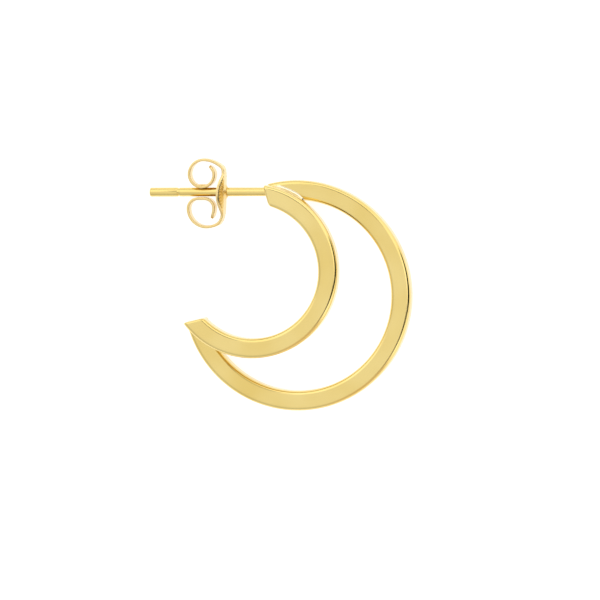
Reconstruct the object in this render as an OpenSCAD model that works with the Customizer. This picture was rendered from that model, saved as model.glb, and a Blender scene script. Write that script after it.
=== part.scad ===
// Double hoop earring lying on its side: two rings of square wire, one on the other, whose cut
// ends coincide, an ear post on the upper pair of ends, and a butterfly clutch on the post.
// X runs along the post towards the hoops, Y across the opening, Z up from the table.
// Millimetres.

/* [Hoops] */
// Outside diameter of the outer hoop
outer_d = 20; // [19.6:0.1:22]
// Outside diameter of the inner hoop
inner_d = 15.1; // [14.6:0.1:15.4]
// How far the inner hoop's centre is moved towards the opening
centre_step = 4.27; // [4.1:0.01:4.5]
// Direction of the middle of the opening, in degrees from +X
opening_dir = 149; // [146:0.1:153]
// Wire width, measured in the plane of the hoops
wire_w = 1.7; // [1.56:0.02:1.8]
// Wire depth, measured along Z
wire_h = 1.8; // [1.6:0.05:2]
// Rounding of every long edge of the wire
wire_round = 0.35; // [0.2:0.05:0.4]

/* [Ear post] */
// Diameter of the free end of the post, where the clutch grips
post_d = 0.8; // [0.7:0.01:0.84]
// Diameter just past the friction groove, from where the post tapers towards the hoops
shank_d = 0.78; // [0.76:0.01:0.8]
// Diameter where the post meets the hoops
root_d = 0.75; // [0.68:0.01:0.76]
// Length of the post outside the hoops, along its axis
post_len = 10.4; // [9.8:0.1:12]
// Distance of the post's axis from the outer hoop's centre, in Y
post_y = 9.03; // [8.95:0.01:9.1]
// Friction groove: distance from the free end
groove_from_tip = 2.55; // [2.2:0.01:2.8]
// Friction groove: width
groove_w = 0.16; // [0.1:0.01:0.2]
// Friction groove: depth of its V
groove_depth = 0.05; // [0.03:0.01:0.08]
// Rounding of the free end
tip_round = 0.12; // [0.05:0.01:0.2]

/* [Butterfly clutch] */
// Gap that the ear lobe has, from the post's root to the clutch plate
lobe_gap = 3.86; // [2.5:0.02:4.5]
// Thickness of the sheet
sheet_t = 0.24; // [0.2:0.01:0.28]
// Width of the strip that the scrolls are rolled from
strip_w = 1.2; // [1:0.05:1.6]
// Plate: depth of its pointed oval along Z
plate_depth = 2.5; // [2.3:0.05:2.8]
// Plate: height of its pointed oval along Y
plate_height = 4.6; // [4.4:0.05:4.8]
// Running clearance all round the post
post_clearance = 0.03; // [0.02:0.005:0.05]
// Collar round the hole, on the side of the scrolls: height above the plate
collar_h = 0.36; // [0.25:0.01:0.4]
// Collar: radius at its base, on the plate
collar_base_r = 0.9; // [0.8:0.01:1]
// Collar: radius at its mouth
collar_mouth_r = 0.62; // [0.56:0.01:0.7]

/* [Hidden] */
$fn = 128;

GOLD = "#e4c46c";
PALE_GOLD = "#e8cd8a";

outer_r = outer_d / 2;
inner_r = inner_d / 2;
total_h = 2 * wire_h;

// The two outside circles cross where the ends are cut, half_open each side of the opening.
half_open = acos((centre_step ^ 2 + outer_r ^ 2 - inner_r ^ 2) / (2 * centre_step * outer_r));
first_cut = opening_dir - half_open;
second_cut = opening_dir + half_open;

// The solder lets the inner hoop sink this far into the outer one.
solder_sink = 0.03;

// The hoops are cut by a wedge that starts this far under them and ends as far over them.
cut_over = 1;

// The solder seam stands this far inside the outlines that it joins, and is high enough to
// close the notch that their rounded edges make.
seam_in = 0.05;
seam_h = 2 * (wire_round - seam_in);

// The post is on the seam of the two hoops, and its root is the cut face at that height.
post_z = wire_h;
root_x = post_y / tan(first_cut);
tip_x = root_x - post_len;
root_sunk = 0.7;
clutch_r = post_d / 2 + post_clearance;
plate_x = root_x - lobe_gap;

// The plate leans a little on the post, its top towards the hoops.
plate_lean = -1.4;

// The plate's oval is cut out of the strip where the strip is nearer than this to the plate's
// middle plane, and what is cut through the whole clutch reaches well past it.
plate_zone = 0.3;
past_clutch = 5;

// The strip is bent in flats that turn it by this many degrees at most.
bend_step = 9;

// Scrolls, followed from the plate's middle, each bend turning the strip back to the post.
// A row is one stretch of the strip: [radius of its centre line, degrees that it turns],
// or [length, 0] for a straight one.
UPPER_SCROLL = [
    [1.86, 0],
    [0.5, 51],
    [2.31, 40.4],
    [1.25, 90],
    [1.11, 90],
    [1.07, 90],
    [0.85, 48],
    [0.12, 0]
];
LOWER_SCROLL = [
    [2.1, 0],
    [0.83, 62],
    [1.98, 26.6],
    [1.6, 90],
    [0.87, 90],
    [0.55, 0],
    [0.84, 90],
    [1.8, 27]
];

// Where a stretch that starts at [x, y, heading] ends
function stretch_end(from, row) =
    let (
        size = row[0],
        turn = row[1],
        a = from[2],
        b = from[2] + turn
    )
    turn == 0
        ? [from[0] + size * cos(a), from[1] + size * sin(a), a]
        : [from[0] + size * (sin(b) - sin(a)), from[1] + size * (cos(a) - cos(b)), b];

// Start of stretch number i of a scroll
function stretch_start(rows, start, i) =
    i == 0 ? start : stretch_end(stretch_start(rows, start, i - 1), rows[i - 1]);

// Point a share of the way along a stretch, as [x, y, heading]
function along(from, row, share) =
    share == 0 ? from : stretch_end(from, [row[0], row[1] * share]);

// Centre line of a scroll, a point for every few degrees that it turns, without its start
function route(rows, start) = [
    for (i = [0:len(rows) - 1])
        let (
            from = stretch_start(rows, start, i),
            steps = max(1, ceil(rows[i][1] / bend_step))
        )
        for (k = [1:steps])
            along(from, rows[i], k / steps)
];

// One side of a scroll, a distance to the left of its centre line
function side(points, left) = [for (p = points) [p[0] - left * sin(p[2]), p[1] + left * cos(p[2])]];

// Half round that closes a scroll's end, from its right side to its left
function round_end(points, r) =
    let (p = points[len(points) - 1])
    [for (a = [-60:30:60]) [p[0] + r * cos(p[2] + a), p[1] + r * sin(p[2] + a)]];

function reversed(points) = [for (i = [len(points) - 1:-1:0]) points[i]];

function mirrored(points) = [for (p = points) [p[0], -p[1]]];

// The origin goes to the middle of the box that the whole earring fills, on the table.
upper_outside = side(route(UPPER_SCROLL, [0, 0, 90 + plate_lean]), -sheet_t / 2);
scroll_top = max([for (p = upper_outside) p[1]]);
mid_x = (outer_r + tip_x) / 2;
mid_y = (post_y + scroll_top - outer_r) / 2;

// Square with rounded corners, the wire's section
module wire_section(w, h, r) {
    corners = [[w - r, r, -90], [w - r, h - r, 0], [r, h - r, 90], [r, r, 180]];
    polygon([
        for (c = corners, a = [0:22.5:90])
            [c[0] + r * cos(c[2] + a), c[1] + r * sin(c[2] + a)]
    ]);
}

// Full ring of the wire, standing on Z = 0
module wire_ring(r) {
    rotate_extrude()
        translate([r - wire_w, 0])
            wire_section(wire_w, wire_h, wire_round);
}

// Wedge over the opening, which both hoops are cut along
module opening_wedge() {
    reach = 2 * outer_r;
    translate([0, 0, -cut_over])
        linear_extrude(total_h + 2 * cut_over)
            polygon([
                [0, 0],
                [reach * cos(first_cut), reach * sin(first_cut)],
                [reach * cos(opening_dir), reach * sin(opening_dir)],
                [reach * cos(second_cut), reach * sin(second_cut)]
            ]);
}

// Moves its children to the inner hoop's centre
module at_inner_centre() {
    translate([centre_step * cos(opening_dir), centre_step * sin(opening_dir), 0])
        children();
}

// Outline of a ring in the plane of the hoops
module ring_outline(r) {
    difference() {
        circle(r);
        circle(r - wire_w + 2 * seam_in);
    }
}

// Solder that fills the notches between the hoops, where one lies on the other
module solder_seam() {
    translate([0, 0, wire_h - (seam_h + solder_sink) / 2])
        linear_extrude(seam_h)
            intersection() {
                ring_outline(outer_r - seam_in);
                at_inner_centre()
                    ring_outline(inner_r - seam_in);
            }
}

// Outer and inner hoop, soldered face to face
module hoops() {
    difference() {
        union() {
            wire_ring(outer_r);
            at_inner_centre()
                translate([0, 0, wire_h - solder_sink])
                    wire_ring(inner_r);
            solder_seam();
        }
        opening_wedge();
    }
}

// Ear post along X: a straight free end with a rounded tip, a V groove, and a slight taper
// from there to the hoops
module ear_post() {
    r = post_d / 2;
    groove_x = tip_x + groove_from_tip;
    rounded_tip = [
        for (a = [0:30:90])
            [r - tip_round + tip_round * sin(a), tip_x + tip_round - tip_round * cos(a)]
    ];
    translate([0, post_y, post_z])
        rotate([0, 90, 0])
            rotate_extrude()
                polygon(concat(
                    [[0, tip_x]],
                    rounded_tip,
                    [
                        [r, groove_x - groove_w / 2],
                        [r - groove_depth, groove_x],
                        [shank_d / 2, groove_x + groove_w / 2],
                        [root_d / 2, root_x + root_sunk],
                        [0, root_x + root_sunk]
                    ]
                ));
}

// Section of the whole strip: up the outer side of the plate, round the upper scroll and back,
// then round the lower scroll, which is worked out as an upper one and mirrored
module strip_section() {
    half = sheet_t / 2;
    upper = route(UPPER_SCROLL, [0, 0, 90 + plate_lean]);
    lower = route(LOWER_SCROLL, [0, 0, 90 - plate_lean]);
    polygon(concat(
        side(upper, -half),
        round_end(upper, half),
        reversed(side(upper, half)),
        mirrored(side(lower, half)),
        mirrored(reversed(round_end(lower, half))),
        mirrored(reversed(side(lower, -half)))
    ));
}

// What the blank was cut to, seen along the post: a narrow strip, and a pointed oval at the plate
module blank_outline() {
    half_depth = plate_depth / 2;
    half_height = plate_height / 2;
    side_r = (half_depth ^ 2 + half_height ^ 2) / (2 * half_depth);
    cube([2 * past_clutch, 2 * past_clutch, strip_w], center = true);
    rotate([0, 90, 0])
        intersection() {
            translate([side_r - half_depth, 0, 0])
                cylinder(h = 2 * plate_zone, r = side_r, center = true);
            translate([half_depth - side_r, 0, 0])
                cylinder(h = 2 * plate_zone, r = side_r, center = true);
        }
}

// Collar that is pressed out of the plate round the hole, towards the scrolls
module clutch_collar() {
    rotate([0, -90, 0])
        cylinder(h = sheet_t / 2 + collar_h, r1 = collar_base_r, r2 = collar_mouth_r);
}

// Hoops and post, one soldered solid
module double_hoop() {
    color(GOLD)
        translate([-mid_x, -mid_y, 0])
            union() {
                hoops();
                ear_post();
            }
}

// Clutch on the post, bored for it with running clearance
module butterfly_clutch() {
    color(PALE_GOLD)
        translate([plate_x - sheet_t / 2 - mid_x, post_y - mid_y, post_z])
            difference() {
                union() {
                    intersection() {
                        linear_extrude(plate_depth, center = true)
                            strip_section();
                        blank_outline();
                    }
                    clutch_collar();
                }
                rotate([0, 90, 0])
                    cylinder(h = 2 * past_clutch, r = clutch_r, center = true);
            }
}

double_hoop();
butterfly_clutch();
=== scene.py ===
import math

import bmesh
import bpy
from mathutils import Matrix, Vector


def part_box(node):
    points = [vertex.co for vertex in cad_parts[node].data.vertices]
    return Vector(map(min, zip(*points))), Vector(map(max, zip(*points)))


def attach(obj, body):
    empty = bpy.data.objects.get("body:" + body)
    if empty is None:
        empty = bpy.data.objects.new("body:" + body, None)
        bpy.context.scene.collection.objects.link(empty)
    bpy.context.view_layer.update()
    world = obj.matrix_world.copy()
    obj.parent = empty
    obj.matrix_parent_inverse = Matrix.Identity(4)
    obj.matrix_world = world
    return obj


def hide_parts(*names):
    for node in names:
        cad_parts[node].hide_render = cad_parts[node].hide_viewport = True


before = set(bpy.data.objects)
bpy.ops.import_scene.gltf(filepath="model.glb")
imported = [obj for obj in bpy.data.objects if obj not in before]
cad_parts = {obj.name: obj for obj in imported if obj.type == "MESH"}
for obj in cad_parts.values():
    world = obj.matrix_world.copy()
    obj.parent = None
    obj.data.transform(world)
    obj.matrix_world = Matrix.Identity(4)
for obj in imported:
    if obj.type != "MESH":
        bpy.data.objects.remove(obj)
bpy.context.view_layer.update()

# Camera: the photo looks almost square on at the hoops, 9.5 degrees from the side of the wide
# hoop and 3 degrees from above the post. The earring lies on its side, so the camera is over it.
MM = 0.001
OUTER_R = 10.0
WIRE_H = 1.8
CAMERA_SIDE = math.radians(9.5)
CAMERA_ABOVE = math.radians(3)
CAMERA_DISTANCE = 0.5
PHOTO_PX = 600
PX_PER_MM = 11.53
OUTER_CENTRE_PX = (296.05, 295.77)

hoop_low, hoop_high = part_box("double_hoop")
hoop_centre = Vector((hoop_high[0] - OUTER_R * MM, (hoop_low[1] + hoop_high[1]) / 2, 0))

toward = Vector((
    math.sin(CAMERA_SIDE) * math.cos(CAMERA_ABOVE),
    math.sin(CAMERA_ABOVE),
    math.cos(CAMERA_SIDE) * math.cos(CAMERA_ABOVE),
))
right = (Vector((1, 0, 0)) - toward * toward.x).normalized()
up = toward.cross(right)
px = MM / PX_PER_MM
off_right = (PHOTO_PX / 2 - OUTER_CENTRE_PX[0]) * px
off_up = (OUTER_CENTRE_PX[1] - PHOTO_PX / 2) * px
looked_at = hoop_centre + Vector((0, 0, WIRE_H * MM)) + right * off_right + up * off_up

lens = bpy.data.cameras.new("camera")
lens.sensor_width = 36
lens.lens = lens.sensor_width * CAMERA_DISTANCE / (PHOTO_PX * px)
lens.clip_start = 0.01
lens.clip_end = 10
camera = bpy.data.objects.new("camera", lens)
camera.matrix_world = (
    Matrix.Translation(looked_at + toward * CAMERA_DISTANCE)
    @ Matrix((right, up, toward)).transposed().to_4x4()
)
bpy.context.scene.collection.objects.link(camera)
bpy.context.scene.camera = camera


# Outer hoop: three quarters of a ring of square silver wire, its edges rounded by the polishing
# wheel, cut straight across and plated with yellow gold. All points here are in mm, measured
# from the outer hoop's centre on the table.
WIRE_W = 1.7
EDGE_ROUND = 0.35
END_ROUND = 0.2
QUARTER_TURN = [math.radians(15 * k) for k in range(7)]
FIRST_CUT = math.radians(104.806)
SECOND_CUT = math.radians(193.194)
RING_STEPS = 300
FLAT_FACE_WEIGHT = 80
# Marks of the polishing: how many mm across each kind is, and how many times as long as it is
# wide a scratch is.
TONE_PATCH = 5
HAZE_CLOUD = 1.6
BUFFING_WAVE = 3
SCRATCH_LONG = 1.2
SCRATCH_SLIMNESS = 9
SCRATCH_TURN = math.radians(35)


def piece(name, points, faces):
    """Smooth shaded object in the shared frame, its faces turned outwards."""
    mesh = bpy.data.meshes.new(name)
    mesh.from_pydata([hoop_centre + Vector(p) * MM for p in points], [], faces)
    shell = bmesh.new()
    shell.from_mesh(mesh)
    bmesh.ops.recalc_face_normals(shell, faces=shell.faces)
    shell.to_mesh(mesh)
    shell.free()
    mesh.shade_smooth()
    built = bpy.data.objects.new(name, mesh)
    bpy.context.scene.collection.objects.link(built)
    return built


def skin(rows):
    """Points and faces of a closed body through rows of points, each row a closed section."""
    n = len(rows[0])
    points = [p for row in rows for p in row]
    faces = [
        (i * n + k, i * n + (k + 1) % n, (i + 1) * n + (k + 1) % n, (i + 1) * n + k)
        for i in range(len(rows) - 1)
        for k in range(n)
    ]
    faces += [tuple(range(n)), tuple(range(len(points) - n, len(points)))]
    return points, faces


def softened(corners, radius, steps=8):
    """Outline of a polygon with every corner rounded."""
    outline = []
    for i, corner in enumerate(corners):
        corner = Vector(corner)
        back = (Vector(corners[i - 1]) - corner).normalized()
        on = (Vector(corners[(i + 1) % len(corners)]) - corner).normalized()
        half = back.angle(on) / 2
        centre = corner + (back + on).normalized() * radius / math.sin(half)
        start = corner + back * radius / math.tan(half) - centre
        end = corner + on * radius / math.tan(half) - centre
        for k in range(steps + 1):
            outline.append(centre + start.lerp(end, k / steps).normalized() * radius)
    return outline


def wire_section(inset):
    """Section of the wire, made smaller all round by inset, from its inner back corner."""
    low, wide, high = inset, WIRE_W - inset, WIRE_H - inset
    corners = [(low, low), (wide, low), (wide, high), (low, high)]
    return softened(corners, EDGE_ROUND - inset)


def cut_angle(centre, radius, cut):
    """Where a circle about centre meets a cut, which runs straight out from the outer centre."""
    out = Vector((math.cos(cut), math.sin(cut)))
    middle = out.dot(centre)
    reach = middle + math.sqrt(middle ** 2 - centre.length_squared + radius ** 2)
    met = out * reach - centre
    return math.atan2(met.y, met.x)


def hoop(name, centre, outside_r, base):
    """Open ring of the wire with its back at height base, both of its ends on the cuts."""
    rounding = [
        (END_ROUND * (1 - math.cos(a)), END_ROUND * (1 - math.sin(a))) for a in QUARTER_TURN
    ]
    stops = [(0, inset, back) for inset, back in reversed(rounding)]
    stops += [(i / RING_STEPS, 0, END_ROUND) for i in range(1, RING_STEPS)]
    stops += [(1, inset, back) for inset, back in rounding]
    rows = []
    for share, inset, back in stops:
        row = []
        for inward, height in wire_section(inset):
            radius = outside_r - WIRE_W + inward
            first = cut_angle(centre, radius, SECOND_CUT) + back / radius
            last = cut_angle(centre, radius, FIRST_CUT) - back / radius
            a = first + (last - first) * share
            row.append((
                centre.x + radius * math.cos(a),
                centre.y + radius * math.sin(a),
                base + height,
            ))
        rows.append(row)
    ring = piece(name, *skin(rows))
    flats = ring.modifiers.new("flat faces stay flat", "WEIGHTED_NORMAL")
    flats.weight = FLAT_FACE_WEIGHT
    return ring


def linear(code, brightness=1.0):
    """sRGB hex colour as the linear values that sockets take."""
    parts = [int(code[i:i + 2], 16) / 255 for i in (1, 3, 5)]
    flat = [c / 12.92 if c <= 0.04045 else ((c + 0.055) / 1.055) ** 2.4 for c in parts]
    return (*[c * brightness for c in flat], 1)


def node(tree, kind, inputs=None, **settings):
    """Adds a shader node with its settings. An input is a value, or (node, output) to link."""
    added = tree.nodes.new("ShaderNode" + kind)
    for key, value in settings.items():
        setattr(added, key, value)
    for socket, value in (inputs or {}).items():
        if isinstance(value, tuple) and isinstance(value[0], bpy.types.Node):
            tree.links.new(value[0].outputs[value[1]], added.inputs[socket])
        else:
            added.inputs[socket].default_value = value
    return added


def per_mm(size):
    """Noise scale that makes its grains this many mm across."""
    return 1 / (size * MM)


def polished_gold_plate(name, pale, deep, roughness, haze, waves, scratches):
    """Yellow gold plate on silver: a mirror with a warm tint, clouded a little by polishing haze.

    Slow waves left by the buffing wheel bend its reflections, and hairline scratches, which
    are drawn wider than real so that they show at all, keep it from looking like glass.
    """
    material = bpy.data.materials.new(name)
    material.use_nodes = True
    tree = material.node_tree
    shader = tree.nodes["Principled BSDF"]
    shader.inputs["Metallic"].default_value = 1
    place = node(tree, "TexCoord")

    tone = node(tree, "TexNoise", {
        "Vector": (place, "Object"), "Scale": per_mm(TONE_PATCH), "Detail": 2.0, "Roughness": 0.5,
    })
    tint = node(tree, "ValToRGB", {"Fac": (tone, "Fac")})
    tint.color_ramp.elements[0].position = 0.3
    tint.color_ramp.elements[0].color = linear(deep)
    tint.color_ramp.elements[1].position = 0.7
    tint.color_ramp.elements[1].color = linear(pale)
    tree.links.new(tint.outputs["Color"], shader.inputs["Base Color"])

    clouds = node(tree, "TexNoise", {
        "Vector": (place, "Object"), "Scale": per_mm(HAZE_CLOUD), "Detail": 4.0,
        "Roughness": 0.6,
    })
    gloss = node(tree, "MapRange", {
        "Value": (clouds, "Fac"), "From Min": 0.3, "From Max": 0.7,
        "To Min": roughness, "To Max": roughness + haze,
    })
    tree.links.new(gloss.outputs["Result"], shader.inputs["Roughness"])

    slow = node(tree, "TexNoise", {
        "Vector": (place, "Object"), "Scale": per_mm(BUFFING_WAVE), "Detail": 1.0,
        "Roughness": 0.4,
    })
    buffed = node(tree, "Bump", {
        "Height": (slow, "Fac"), "Strength": 1.0, "Distance": waves * MM,
    })
    stretched = node(tree, "Mapping", {
        "Vector": (place, "Object"), "Scale": (1, SCRATCH_SLIMNESS, 1),
        "Rotation": (0, 0, SCRATCH_TURN),
    })
    fine = node(tree, "TexNoise", {
        "Vector": (stretched, "Vector"), "Scale": per_mm(SCRATCH_LONG), "Detail": 6.0,
        "Roughness": 0.7,
    })
    scratched = node(tree, "Bump", {
        "Height": (fine, "Fac"), "Normal": (buffed, "Normal"), "Strength": 1.0,
        "Distance": scratches * MM,
    })
    tree.links.new(scratched.outputs["Normal"], shader.inputs["Normal"])
    return material


hoop_gold = polished_gold_plate(
    "polished_gold_plate", "#EFD890", "#E6CA78", roughness=0.1, haze=0.08, waves=0.004,
    scratches=0.0006,
)
outer_hoop = hoop("outer_hoop", Vector((0, 0)), OUTER_R, 0)
outer_hoop.data.materials.append(hoop_gold)
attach(outer_hoop, "earring")
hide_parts("double_hoop")


# Inner hoop: a smaller ring of the same wire, laid on the front of the outer hoop with its
# centre moved towards the opening, so that the ends of the two come together, and soldered.
INNER_R = 7.55
CENTRE_STEP = 4.27
OPENING_DIRECTION = math.radians(149)
SOLDER_SINK = 0.03

inner_centre = Vector((math.cos(OPENING_DIRECTION), math.sin(OPENING_DIRECTION))) * CENTRE_STEP
inner_hoop = hoop("inner_hoop", inner_centre, INNER_R, WIRE_H - SOLDER_SINK)
inner_hoop.data.materials.append(hoop_gold)
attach(inner_hoop, "earring")
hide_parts("double_hoop")


# Solder seams: silver solder that ran between the two hoops where they overlap. It closes the
# notch that their rounded edges make, and stands against the wall of the inner hoop in a small
# hollow fillet, plated with the rest.
SEAM_IN = 0.05
SEAM_HIGH = 0.6
SEAM_STEPS = 60
SEAM_STEP = math.radians(0.4)
SOLDER_EDGE = math.radians(40)
FILLET_FOOT = 0.21
FILLET_FULL_AFTER = 0.4
FILLET_STEPS = 90
FILLET_BENDS = 8
FILLET_SUNK = 0.06
FILLET_TOE = 0.02
LEAST_RADIUS = 0.01
LEAST_SLANT = 0.3


def ray_to_inner_hoop(radius, a):
    """How far out a ray from the outer centre meets a circle about the inner one, or None."""
    out = Vector((math.cos(a), math.sin(a)))
    middle = out.dot(inner_centre)
    root = middle ** 2 - inner_centre.length_squared + radius ** 2
    return middle + math.sqrt(root) if root > 0 else None


# Solder, pale almost to white: this paleness is a painted highlight, standing in for the glint that
# the hollow fillet catches, so it reads as a soft line, almost white, beside the yellow of the
# hoops. It is also left a little rougher than the hoops.
solder_painted_highlight = polished_gold_plate(
    "solder_with_painted_highlight", "#FFF6DC", "#FBEBC4", roughness=0.18, haze=0.08, waves=0.002,
    scratches=0.0006,
)


def soldered(built):
    """Gives a piece of solder its near-white material, a painted highlight, and the hoops' place in
    the frame.
    """
    built.data.materials.append(solder_painted_highlight)
    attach(built, "earring")
    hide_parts("double_hoop")


def solder_seam(name, cut, inward):
    """Thin crescent between the hoops from a cut to the crotch where they part."""
    low = OUTER_R - WIRE_W + SEAM_IN
    bottom = WIRE_H - (SEAM_HIGH + SOLDER_SINK) / 2
    heights = (bottom, bottom + SEAM_HIGH)
    rows = []
    for i in range(SEAM_STEPS + 1):
        a = cut + inward * (SEAM_IN / OUTER_R + i * SEAM_STEP)
        high = min(OUTER_R - SEAM_IN, ray_to_inner_hoop(INNER_R - SEAM_IN, a))
        if high - low < SEAM_IN:
            break
        section = ((low, heights[0]), (high, heights[0]), (high, heights[1]), (low, heights[1]))
        rows.append([(r * math.cos(a), r * math.sin(a), z) for r, z in section])
    seam = piece(name, *skin(rows))
    seam.data.set_sharp_from_angle(angle=SOLDER_EDGE)
    soldered(seam)


def outer_hoop_top(radius):
    """Height of the outer hoop's front at a distance from its centre, rounded at both edges."""
    near = min(OUTER_R - radius, radius - (OUTER_R - WIRE_W))
    into = max(0.0, EDGE_ROUND - max(0.0, near))
    return WIRE_H - EDGE_ROUND + math.sqrt(EDGE_ROUND ** 2 - into ** 2)


def solder_fillet(name, start, end):
    """Hollow fillet between the outer hoop's front and the wall of the inner one.

    It follows the inner hoop's outside from a cut to the crotch. Its foot is narrow where the
    outer hoop leaves little room for it, and its arc touches the inner hoop's rounded edge.
    """
    rows = []
    for i in range(FILLET_STEPS + 1):
        a = start + (end - start) * i / FILLET_STEPS
        out = Vector((math.cos(a), math.sin(a)))
        wall = inner_centre + out * INNER_R
        slant = max(LEAST_SLANT, out.dot(wall.normalized()))
        room = (OUTER_R - 2 * SEAM_IN - wall.length) / slant
        grown = max(0.0, min(1.0, (wall.length - (OUTER_R - WIRE_W)) / FILLET_FULL_AFTER))
        foot = min(FILLET_FOOT * grown, room)
        foot = max(foot, -EDGE_ROUND / 2)
        top = outer_hoop_top((wall + out * foot).length)
        rise = WIRE_H - SOLDER_SINK + EDGE_ROUND - top
        reach = foot + EDGE_ROUND
        radius = (reach ** 2 - EDGE_ROUND ** 2 + rise ** 2) / (2 * (EDGE_ROUND + rise))
        radius = max(LEAST_RADIUS, radius)
        touch = math.atan2(reach, radius - rise)
        bends = [touch * k / FILLET_BENDS for k in range(FILLET_BENDS + 1)]
        arc = [(foot - radius * math.sin(b), top + radius * (1 - math.cos(b))) for b in bends]
        under = top - FILLET_SUNK
        inside = [(-EDGE_ROUND, arc[-1][1]), (-EDGE_ROUND, under), (foot - FILLET_TOE, under)]
        row = []
        for u, z in arc + inside:
            at = wall + out * u
            row.append((at.x, at.y, z))
        rows.append(row)
    fillet = piece(name, *skin(rows))
    fillet.data.set_sharp_from_angle(angle=SOLDER_EDGE)
    soldered(fillet)


def crossing(radius):
    """Turn about the inner centre at which the inner hoop's outside is this far out."""
    across = (radius ** 2 - CENTRE_STEP ** 2 - INNER_R ** 2) / (2 * CENTRE_STEP * INNER_R)
    return math.acos(across)


solder_seam("upper_solder_seam", FIRST_CUT, -1)
solder_seam("lower_solder_seam", SECOND_CUT, 1)
at_cut = crossing(OUTER_R - FILLET_TOE)
at_crotch = crossing(OUTER_R - WIRE_W)
solder_fillet("upper_solder_fillet", OPENING_DIRECTION - at_cut, OPENING_DIRECTION - at_crotch)
solder_fillet("lower_solder_fillet", OPENING_DIRECTION + at_cut, OPENING_DIRECTION + at_crotch)


# Ear post: drawn silver wire, soldered to the cut face of the upper ends, tapered a little
# towards them, with a rounded tip and a turned groove that stops the clutch near its end.
POST_R = 0.4
PAST_GROOVE_R = 0.39
ROOT_R = 0.375
POST_LENGTH = 10.4
POST_Y = 9.03
GROOVE_FROM_TIP = 2.55
GROOVE_W = 0.2
GROOVE_DEPTH = 0.065
GROOVE_FLOOR_HALF = 0.02
GROOVE_BREAK = 0.03
GROOVE_BREAK_DEEP = 0.006
TIP_ROUND = 0.12
ROOT_SUNK = 0.7
ROOT_FILLET = 0.14
TURNED_STEPS = 48
NEARLY_A_POINT = 1e-4
METAL_EDGE = math.radians(50)

root_x = POST_Y / math.tan(FIRST_CUT)
tip_x = root_x - POST_LENGTH
post_line = Vector((0, POST_Y, WIRE_H))


def turned(profile):
    """Rows of rings about the post's line for (x, radius) pairs, closed at both ends."""
    turns = [2 * math.pi * k / TURNED_STEPS for k in range(TURNED_STEPS)]
    full = [(profile[0][0], NEARLY_A_POINT), *profile, (profile[-1][0], NEARLY_A_POINT)]
    return [
        [post_line + Vector((x, r * math.cos(t), r * math.sin(t))) for t in turns]
        for x, r in full
    ]


groove_x = tip_x + GROOVE_FROM_TIP
post_profile = [
    (tip_x + TIP_ROUND * (1 - math.cos(a)), POST_R - TIP_ROUND * (1 - math.sin(a)))
    for a in QUARTER_TURN
]
post_profile += [
    (groove_x - GROOVE_W / 2 - GROOVE_BREAK, POST_R),
    (groove_x - GROOVE_W / 2, POST_R - GROOVE_BREAK_DEEP),
    (groove_x - GROOVE_FLOOR_HALF, POST_R - GROOVE_DEPTH),
    (groove_x + GROOVE_FLOOR_HALF, POST_R - GROOVE_DEPTH),
    (groove_x + GROOVE_W / 2, PAST_GROOVE_R - GROOVE_BREAK_DEEP),
    (groove_x + GROOVE_W / 2 + GROOVE_BREAK, PAST_GROOVE_R),
]
post_profile += [
    (root_x - ROOT_FILLET * math.cos(a), ROOT_R + ROOT_FILLET * (1 - math.sin(a)))
    for a in reversed(QUARTER_TURN[:-1])
]
post_profile.append((root_x + ROOT_SUNK, ROOT_R))
ear_post = piece("ear_post", *skin(turned(post_profile)))
ear_post.data.set_sharp_from_angle(angle=METAL_EDGE)
ear_post.data.materials.append(hoop_gold)
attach(ear_post, "earring")
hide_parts("double_hoop")


# Butterfly clutch: one strip of gold-plated silver sheet, stamped with a pointed oval plate in
# its middle, whose hole has a pressed collar. Both ends are rolled into scrolls that grip the
# post between them, and the strip is pressed into a channel where it runs along the post.
LOBE_GAP = 3.86
SHEET = 0.24
STRIP_W = 1.2
PLATE_DEPTH = 2.5
PLATE_HEIGHT = 4.6
PLATE_LEAN = -1.4
PLATE_PROUD = 0.14
PLATE_DROP = 0.2
PLATE_FLATNESS = 4
PLATE_NECK_SOFT = 0.04
SIDES_BENT_BACK = 0.78
SIDES_BENT_FROM = 0.66
SIDES_BEND_SOFT = 0.12
BEAD_PITCH = 0.27
BEAD_HIGH = 0.022
BEAD_FROM_RIM = 0.17
BEAD_SPREAD = 0.07
STRIP_CORNER = 0.3
SHEET_EDGE = 0.07
# The rounding of the strip's ends stops just short, so that no points at its corners coincide
END_SHARE = 0.98
BORE_R = 0.43
CHANNEL_R = 0.445
CHANNEL_SOFT = 0.02
BEND_STEP = 5
PLATE_STEP = 0.045
ACROSS = 56
PLATE_STRETCHES = 2
# Each row is one stretch of the strip: (radius of its middle line, degrees that it turns), or
# (length, 0) for a straight one, followed from the plate's middle. The first two are the plate.
UPPER_SCROLL = (
    (1.86, 0), (0.5, 51), (2.31, 40.4), (1.25, 90), (1.11, 90), (1.07, 90), (0.85, 48), (0.12, 0),
)
LOWER_SCROLL = (
    (2.1, 0), (0.83, 62), (1.98, 26.6), (1.6, 90), (0.87, 90), (0.55, 0), (0.84, 90), (1.8, 27),
)

plate_x = root_x - LOBE_GAP - SHEET / 2


def scroll_line(stretches, heading):
    """Middle line of a scroll as (x, y, heading, length so far, on the plate) stops."""
    x, y, heading, run = 0.0, 0.0, math.radians(heading), 0.0
    stops = []
    for i, (size, turn) in enumerate(stretches):
        turn = math.radians(turn)
        length = size * turn if turn else size
        pieces = max(1, round(math.degrees(turn) / BEND_STEP if turn else length / PLATE_STEP))
        for k in range(1, pieces + 1):
            part = k / pieces
            a = heading + turn * part
            if turn:
                at = (x + size * (math.sin(a) - math.sin(heading)),
                      y + size * (math.cos(heading) - math.cos(a)))
            else:
                at = (x + size * part * math.cos(a), y + size * part * math.sin(a))
            stops.append((*at, a, run + length * part, i < PLATE_STRETCHES))
        x, y, heading, run = *at, a, run + length
    return stops


def smooth_over(value, softness):
    """The value where it is above nought, and nought below, without a kink."""
    return (value + math.sqrt(value ** 2 + softness ** 2)) / 2


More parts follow.
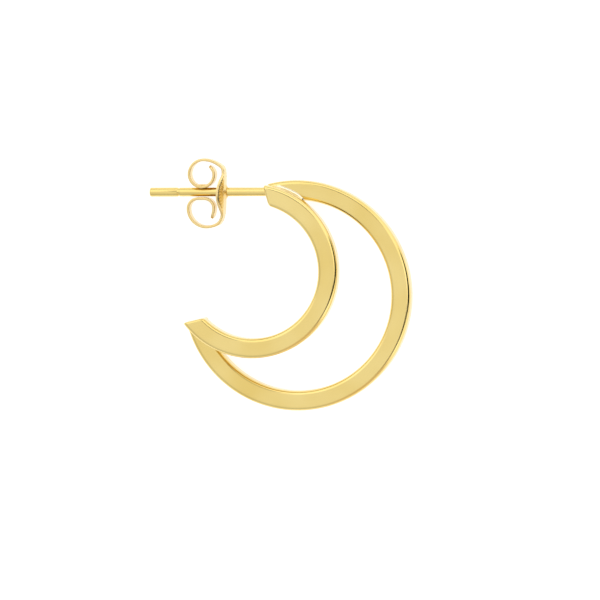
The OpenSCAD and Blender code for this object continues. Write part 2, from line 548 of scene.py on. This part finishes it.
def half_width(y, run, end, on_plate):
    """Half the strip's width: a pointed oval at the plate, and rounded corners at its end."""
    narrow = STRIP_W / 2
    if on_plate:
        deep, tall = PLATE_DEPTH / 2, PLATE_HEIGHT / 2
        side_r = (deep ** 2 + tall ** 2) / (2 * deep)
        oval = math.sqrt(max(0.0, side_r ** 2 - (y + PLATE_DROP) ** 2)) - (side_r - deep)
        return narrow + smooth_over(oval - narrow, PLATE_NECK_SOFT)
    past = max(0.0, run - (end - STRIP_CORNER))
    return narrow - STRIP_CORNER + math.sqrt(max(0.0, STRIP_CORNER ** 2 - past ** 2))


def sheet_section(half_wide, thin):
    """Section across the strip as (across, out) points, with softened edges."""
    edge = SHEET_EDGE - thin
    half = SHEET / 2 - thin
    wide = half_wide - thin
    arc = [math.radians(30 * k) for k in range(4)]
    flat = [(wide - edge) * (2 * k / ACROSS - 1) for k in range(1, ACROSS)]
    right_side = [(wide - edge + edge * math.sin(a), half - edge + edge * math.cos(a)) for a in arc]
    outside = [(-x, y) for x, y in reversed(right_side)] + [(x, half) for x in flat] + right_side
    return outside + [(-x, -y) for x, y in outside]


def bead(from_rim, y):
    """Height of the row of small beads that is struck along both rims of the plate."""
    along = 0.5 + 0.5 * math.cos(2 * math.pi * y / BEAD_PITCH)
    return BEAD_HIGH * along * math.exp(-((from_rim - BEAD_FROM_RIM) / BEAD_SPREAD) ** 2)


def plate_bow(across, y):
    """How far the plate stands proud of its ends, less the bend of its sides to the scrolls."""
    share = max(0.0, 1 - (abs(y) / (PLATE_HEIGHT / 2)) ** PLATE_FLATNESS)
    bent = SIDES_BENT_BACK * smooth_over(abs(across) - SIDES_BENT_FROM, SIDES_BEND_SOFT)
    return share * (PLATE_PROUD - bent)


def strip_rows(stretches, heading, mirror):
    """Rows from the plate's middle to the end of one scroll, the lower one mirrored."""
    stops = scroll_line(stretches, heading)
    end = stops[-1][3]
    shaped = [(stop, 0.0, 0.0) for stop in stops]
    tip = stops[-1]
    for a in (math.radians(30 * k) for k in (1, 2, 3)):
        on = SHEET_EDGE * math.sin(a) * END_SHARE
        thin = SHEET_EDGE * (1 - math.cos(a)) * END_SHARE
        shaped.append((tip, thin, on))
    rows = []
    for (x, y, a, run, on_plate), thin, on in shaped:
        wide = half_width(mirror * y, run, end, on_plate)
        x, y = x + on * math.cos(a), y + on * math.sin(a)
        row = []
        for across, out in sheet_section(wide, thin):
            if on_plate and out > 0:
                out += bead(wide - abs(across), mirror * y)
            spot_x = x + out * math.sin(a)
            spot_y = y - out * math.cos(a)
            if on_plate:
                spot_x += plate_bow(across, y)
            else:
                under = abs(y) - SHEET / 2
                channel = math.sqrt(max(0.0, CHANNEL_R ** 2 - across ** 2)) - under
                spot_y += smooth_over(channel, CHANNEL_SOFT)
            row.append(Vector((plate_x + spot_x, POST_Y + mirror * spot_y, WIRE_H + across)))
        rows.append(row)
    return rows


upper_rows = strip_rows(UPPER_SCROLL, 90 + PLATE_LEAN, 1)
lower_rows = strip_rows(LOWER_SCROLL, 90 - PLATE_LEAN, -1)
clutch = piece("clutch_strip", *skin(list(reversed(lower_rows)) + upper_rows))

# Both profiles are (x from the plate, radius). The collar stands towards the scrolls, with a low
# lip on the side of the hoops, and the bore widens at its two mouths.
collar_profile = [
    (-0.46, 0.5), (-0.45, 0.54), (-0.41, 0.57), (-0.2, 0.6), (-0.08, 0.66), (0.0, 0.76),
    (0.18, 0.8), (0.25, 0.72), (0.29, 0.64), (0.33, 0.59), (0.36, 0.56), (0.38, 0.53), (0.39, 0.5),
]
bore_profile = [
    (-0.6, 0.5), (-0.48, 0.46), (-0.44, BORE_R), (0.37, BORE_R), (0.4, 0.46), (0.6, 0.5),
]
collar = piece("collar", *skin(turned([(plate_x + x, r) for x, r in collar_profile])))
bore = piece("bore", *skin(turned([(plate_x + x, r) for x, r in bore_profile])))


def fuse(body, other, operation):
    """Joins another solid to a body, or cuts it out, and deletes the other."""
    step = body.modifiers.new(operation, "BOOLEAN")
    step.operation = operation
    step.solver = "EXACT"
    step.object = other
    with bpy.context.temp_override(object=body, active_object=body):
        bpy.ops.object.modifier_apply(modifier=step.name)
    bpy.data.objects.remove(other)


fuse(clutch, collar, "UNION")
fuse(clutch, bore, "DIFFERENCE")
clutch.data.shade_smooth()
clutch.data.set_sharp_from_angle(angle=METAL_EDGE)
# Gold plate polished by tumbling, as small findings are: paler and cloudier than the hoops, with
# broad soft reflections in place of sharp ones.
clutch_gold = polished_gold_plate(
    "tumbled_gold_plate", "#F3DBA0", "#E9CB86", roughness=0.2, haze=0.1, waves=0.006,
    scratches=0.001,
)
clutch.data.materials.clear()
clutch.data.materials.append(clutch_gold)
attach(clutch, "clutch")
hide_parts("butterfly_clutch")


# Table and light: a pale acrylic light table, lit from below so that it gives no shadow, inside
# a white tent with a bright window side. A tilted black card beside the wide hoop draws the dark
# line along its rounded edge.
TABLE_SIZE = 1.2
# The tent's own colours are given at half brightness, and its strength doubles them
TENT_STRENGTH = 2.0
HALF = 1 / TENT_STRENGTH
CARD_FACES = (0.065, 0.931, 0.359)
CARD_SLANT = 0.6

bpy.ops.mesh.primitive_plane_add(size=TABLE_SIZE)
table = bpy.context.object
table.name = "table"
# Opal acrylic with lamps under it: an even white with no gloss, on which nothing throws a shadow
opal = bpy.data.materials.new("lit_opal_acrylic")
opal.use_nodes = True
acrylic = opal.node_tree.nodes["Principled BSDF"]
acrylic.inputs["Base Color"].default_value = linear("#A4A4A2")
acrylic.inputs["Roughness"].default_value = 0.9
acrylic.inputs["Emission Color"].default_value = linear("#FFFFFF")
acrylic.inputs["Emission Strength"].default_value = 0.82
table.data.materials.append(opal)

tent = bpy.data.worlds.new("light_tent")
tent.use_nodes = True
tree = tent.node_tree
direction = node(tree, "TexCoord")
split = node(tree, "SeparateXYZ", {"Vector": (direction, "Generated")})
turn = node(tree, "Math", {0: (split, "Y"), 1: (split, "X")}, operation="ARCTAN2")


def band(value, start, full, fall, end):
    """1 where the value is between full and fall, and 0 before start and after end."""
    rise = node(tree, "MapRange", {
        "Value": value, "From Min": start, "From Max": full,
    }, interpolation_type="SMOOTHSTEP")
    drop = node(tree, "MapRange", {
        "Value": value, "From Min": fall, "From Max": end, "To Min": 1.0, "To Max": 0.0,
    }, interpolation_type="SMOOTHSTEP")
    return node(tree, "Math", {0: (rise, "Result"), 1: (drop, "Result")}, operation="MULTIPLY")


def facing(turns):
    """1 towards the middle two of four turns round the tent, and 0 outside all four."""
    return band((turn, "Value"), *[math.radians(t) for t in turns])


def brightness_by_height(stops):
    """Half the tent's brightness from the table's level at 0 to right overhead at 1."""
    ramp = node(tree, "ValToRGB", {"Fac": (split, "Z")})
    points = ramp.color_ramp.elements
    while len(points) < len(stops):
        points.new(stops[len(points)][0])
    for point, (height, value) in zip(points, stops):
        point.position = height
        point.color = (value * HALF, value * HALF, value * HALF, 1)
    return ramp


window_side = brightness_by_height([
    (0.0, 1.1), (0.15, 1.2), (0.38, 1.4), (0.92, 1.4), (0.97, 1.0), (1.0, 1.0),
])
room_side = brightness_by_height([
    (0.0, 0.75), (0.3, 0.7), (0.6, 0.75), (0.85, 0.9), (0.95, 1.0), (1.0, 1.0),
])
to_window = facing((-70, -35, 150, 178))
walls = node(tree, "Mix", {
    "Factor": (to_window, "Value"), 6: (room_side, "Color"), 7: (window_side, "Color"),
}, data_type="RGBA")


def laid_over(under, turns, heights, colour):
    """A soft-edged patch of one colour over the tent, between four turns and four heights."""
    across = facing(turns)
    upwards = band((split, "Z"), *heights)
    patch = node(tree, "Math", {0: (across, "Value"), 1: (upwards, "Value")},
                 operation="MULTIPLY")
    return node(tree, "Mix", {
        "Factor": (patch, "Value"), 6: (under, 2), 7: colour,
    }, data_type="RGBA")


# The window's dark upper frame, its dimmer sill, and a warm stretch of wall
walls = laid_over(walls, (35, 60, 92, 108), (0.80, 0.85, 0.92, 0.96), linear("#6C5C38", HALF))
walls = laid_over(walls, (45, 75, 150, 176), (-0.2, -0.1, 0.2, 0.38), linear("#D8D4C4", HALF))
walls = laid_over(walls, (-95, -75, -50, -40), (-0.2, -0.1, 0.88, 0.95), linear("#E8D6C2", HALF))

lower_side = node(tree, "VectorMath", {
    0: (direction, "Generated"), 1: CARD_FACES,
}, operation="DOT_PRODUCT")
low_edge = node(tree, "MapRange", {
    "Value": (lower_side, "Value"), "From Min": -0.04, "From Max": 0.0,
}, interpolation_type="SMOOTHSTEP")
slant = node(tree, "Math", {
    0: (turn, "Value"), 1: CARD_SLANT, 2: (split, "Z"),
}, operation="MULTIPLY_ADD")
high_edge = node(tree, "MapRange", {
    "Value": (slant, "Value"), "From Min": 0.66, "From Max": 0.74, "To Min": 1.0, "To Max": 0.0,
}, interpolation_type="SMOOTHSTEP")
card = node(tree, "Math", {0: (low_edge, "Result"), 1: (high_edge, "Result")},
            operation="MULTIPLY")
for edges in (facing((-72, -62, 20, 28)), band((split, "Z"), -0.2, -0.1, 0.955, 0.98)):
    card = node(tree, "Math", {0: (card, "Value"), 1: (edges, "Value")}, operation="MULTIPLY")
carded = node(tree, "Mix", {
    "Factor": (card, "Value"), 6: (walls, 2), 7: linear("#0E0C0A", HALF),
}, data_type="RGBA")
glow = tree.nodes["Background"]
tree.links.new(carded.outputs[2], glow.inputs["Color"])
glow.inputs["Strength"].default_value = TENT_STRENGTH
bpy.context.scene.world = tent
bpy.context.scene.view_settings.view_transform = "Standard"

fill = bpy.data.lights.new("fill", "AREA")
fill.shape = "DISK"
fill.size = 0.6
fill.energy = 1.0
fill_light = bpy.data.objects.new("fill", fill)
fill_light.location = hoop_centre + Vector((0, 0, 0.8))
fill_light.visible_glossy = False
fill_light.visible_camera = False
bpy.context.scene.collection.objects.link(fill_light)
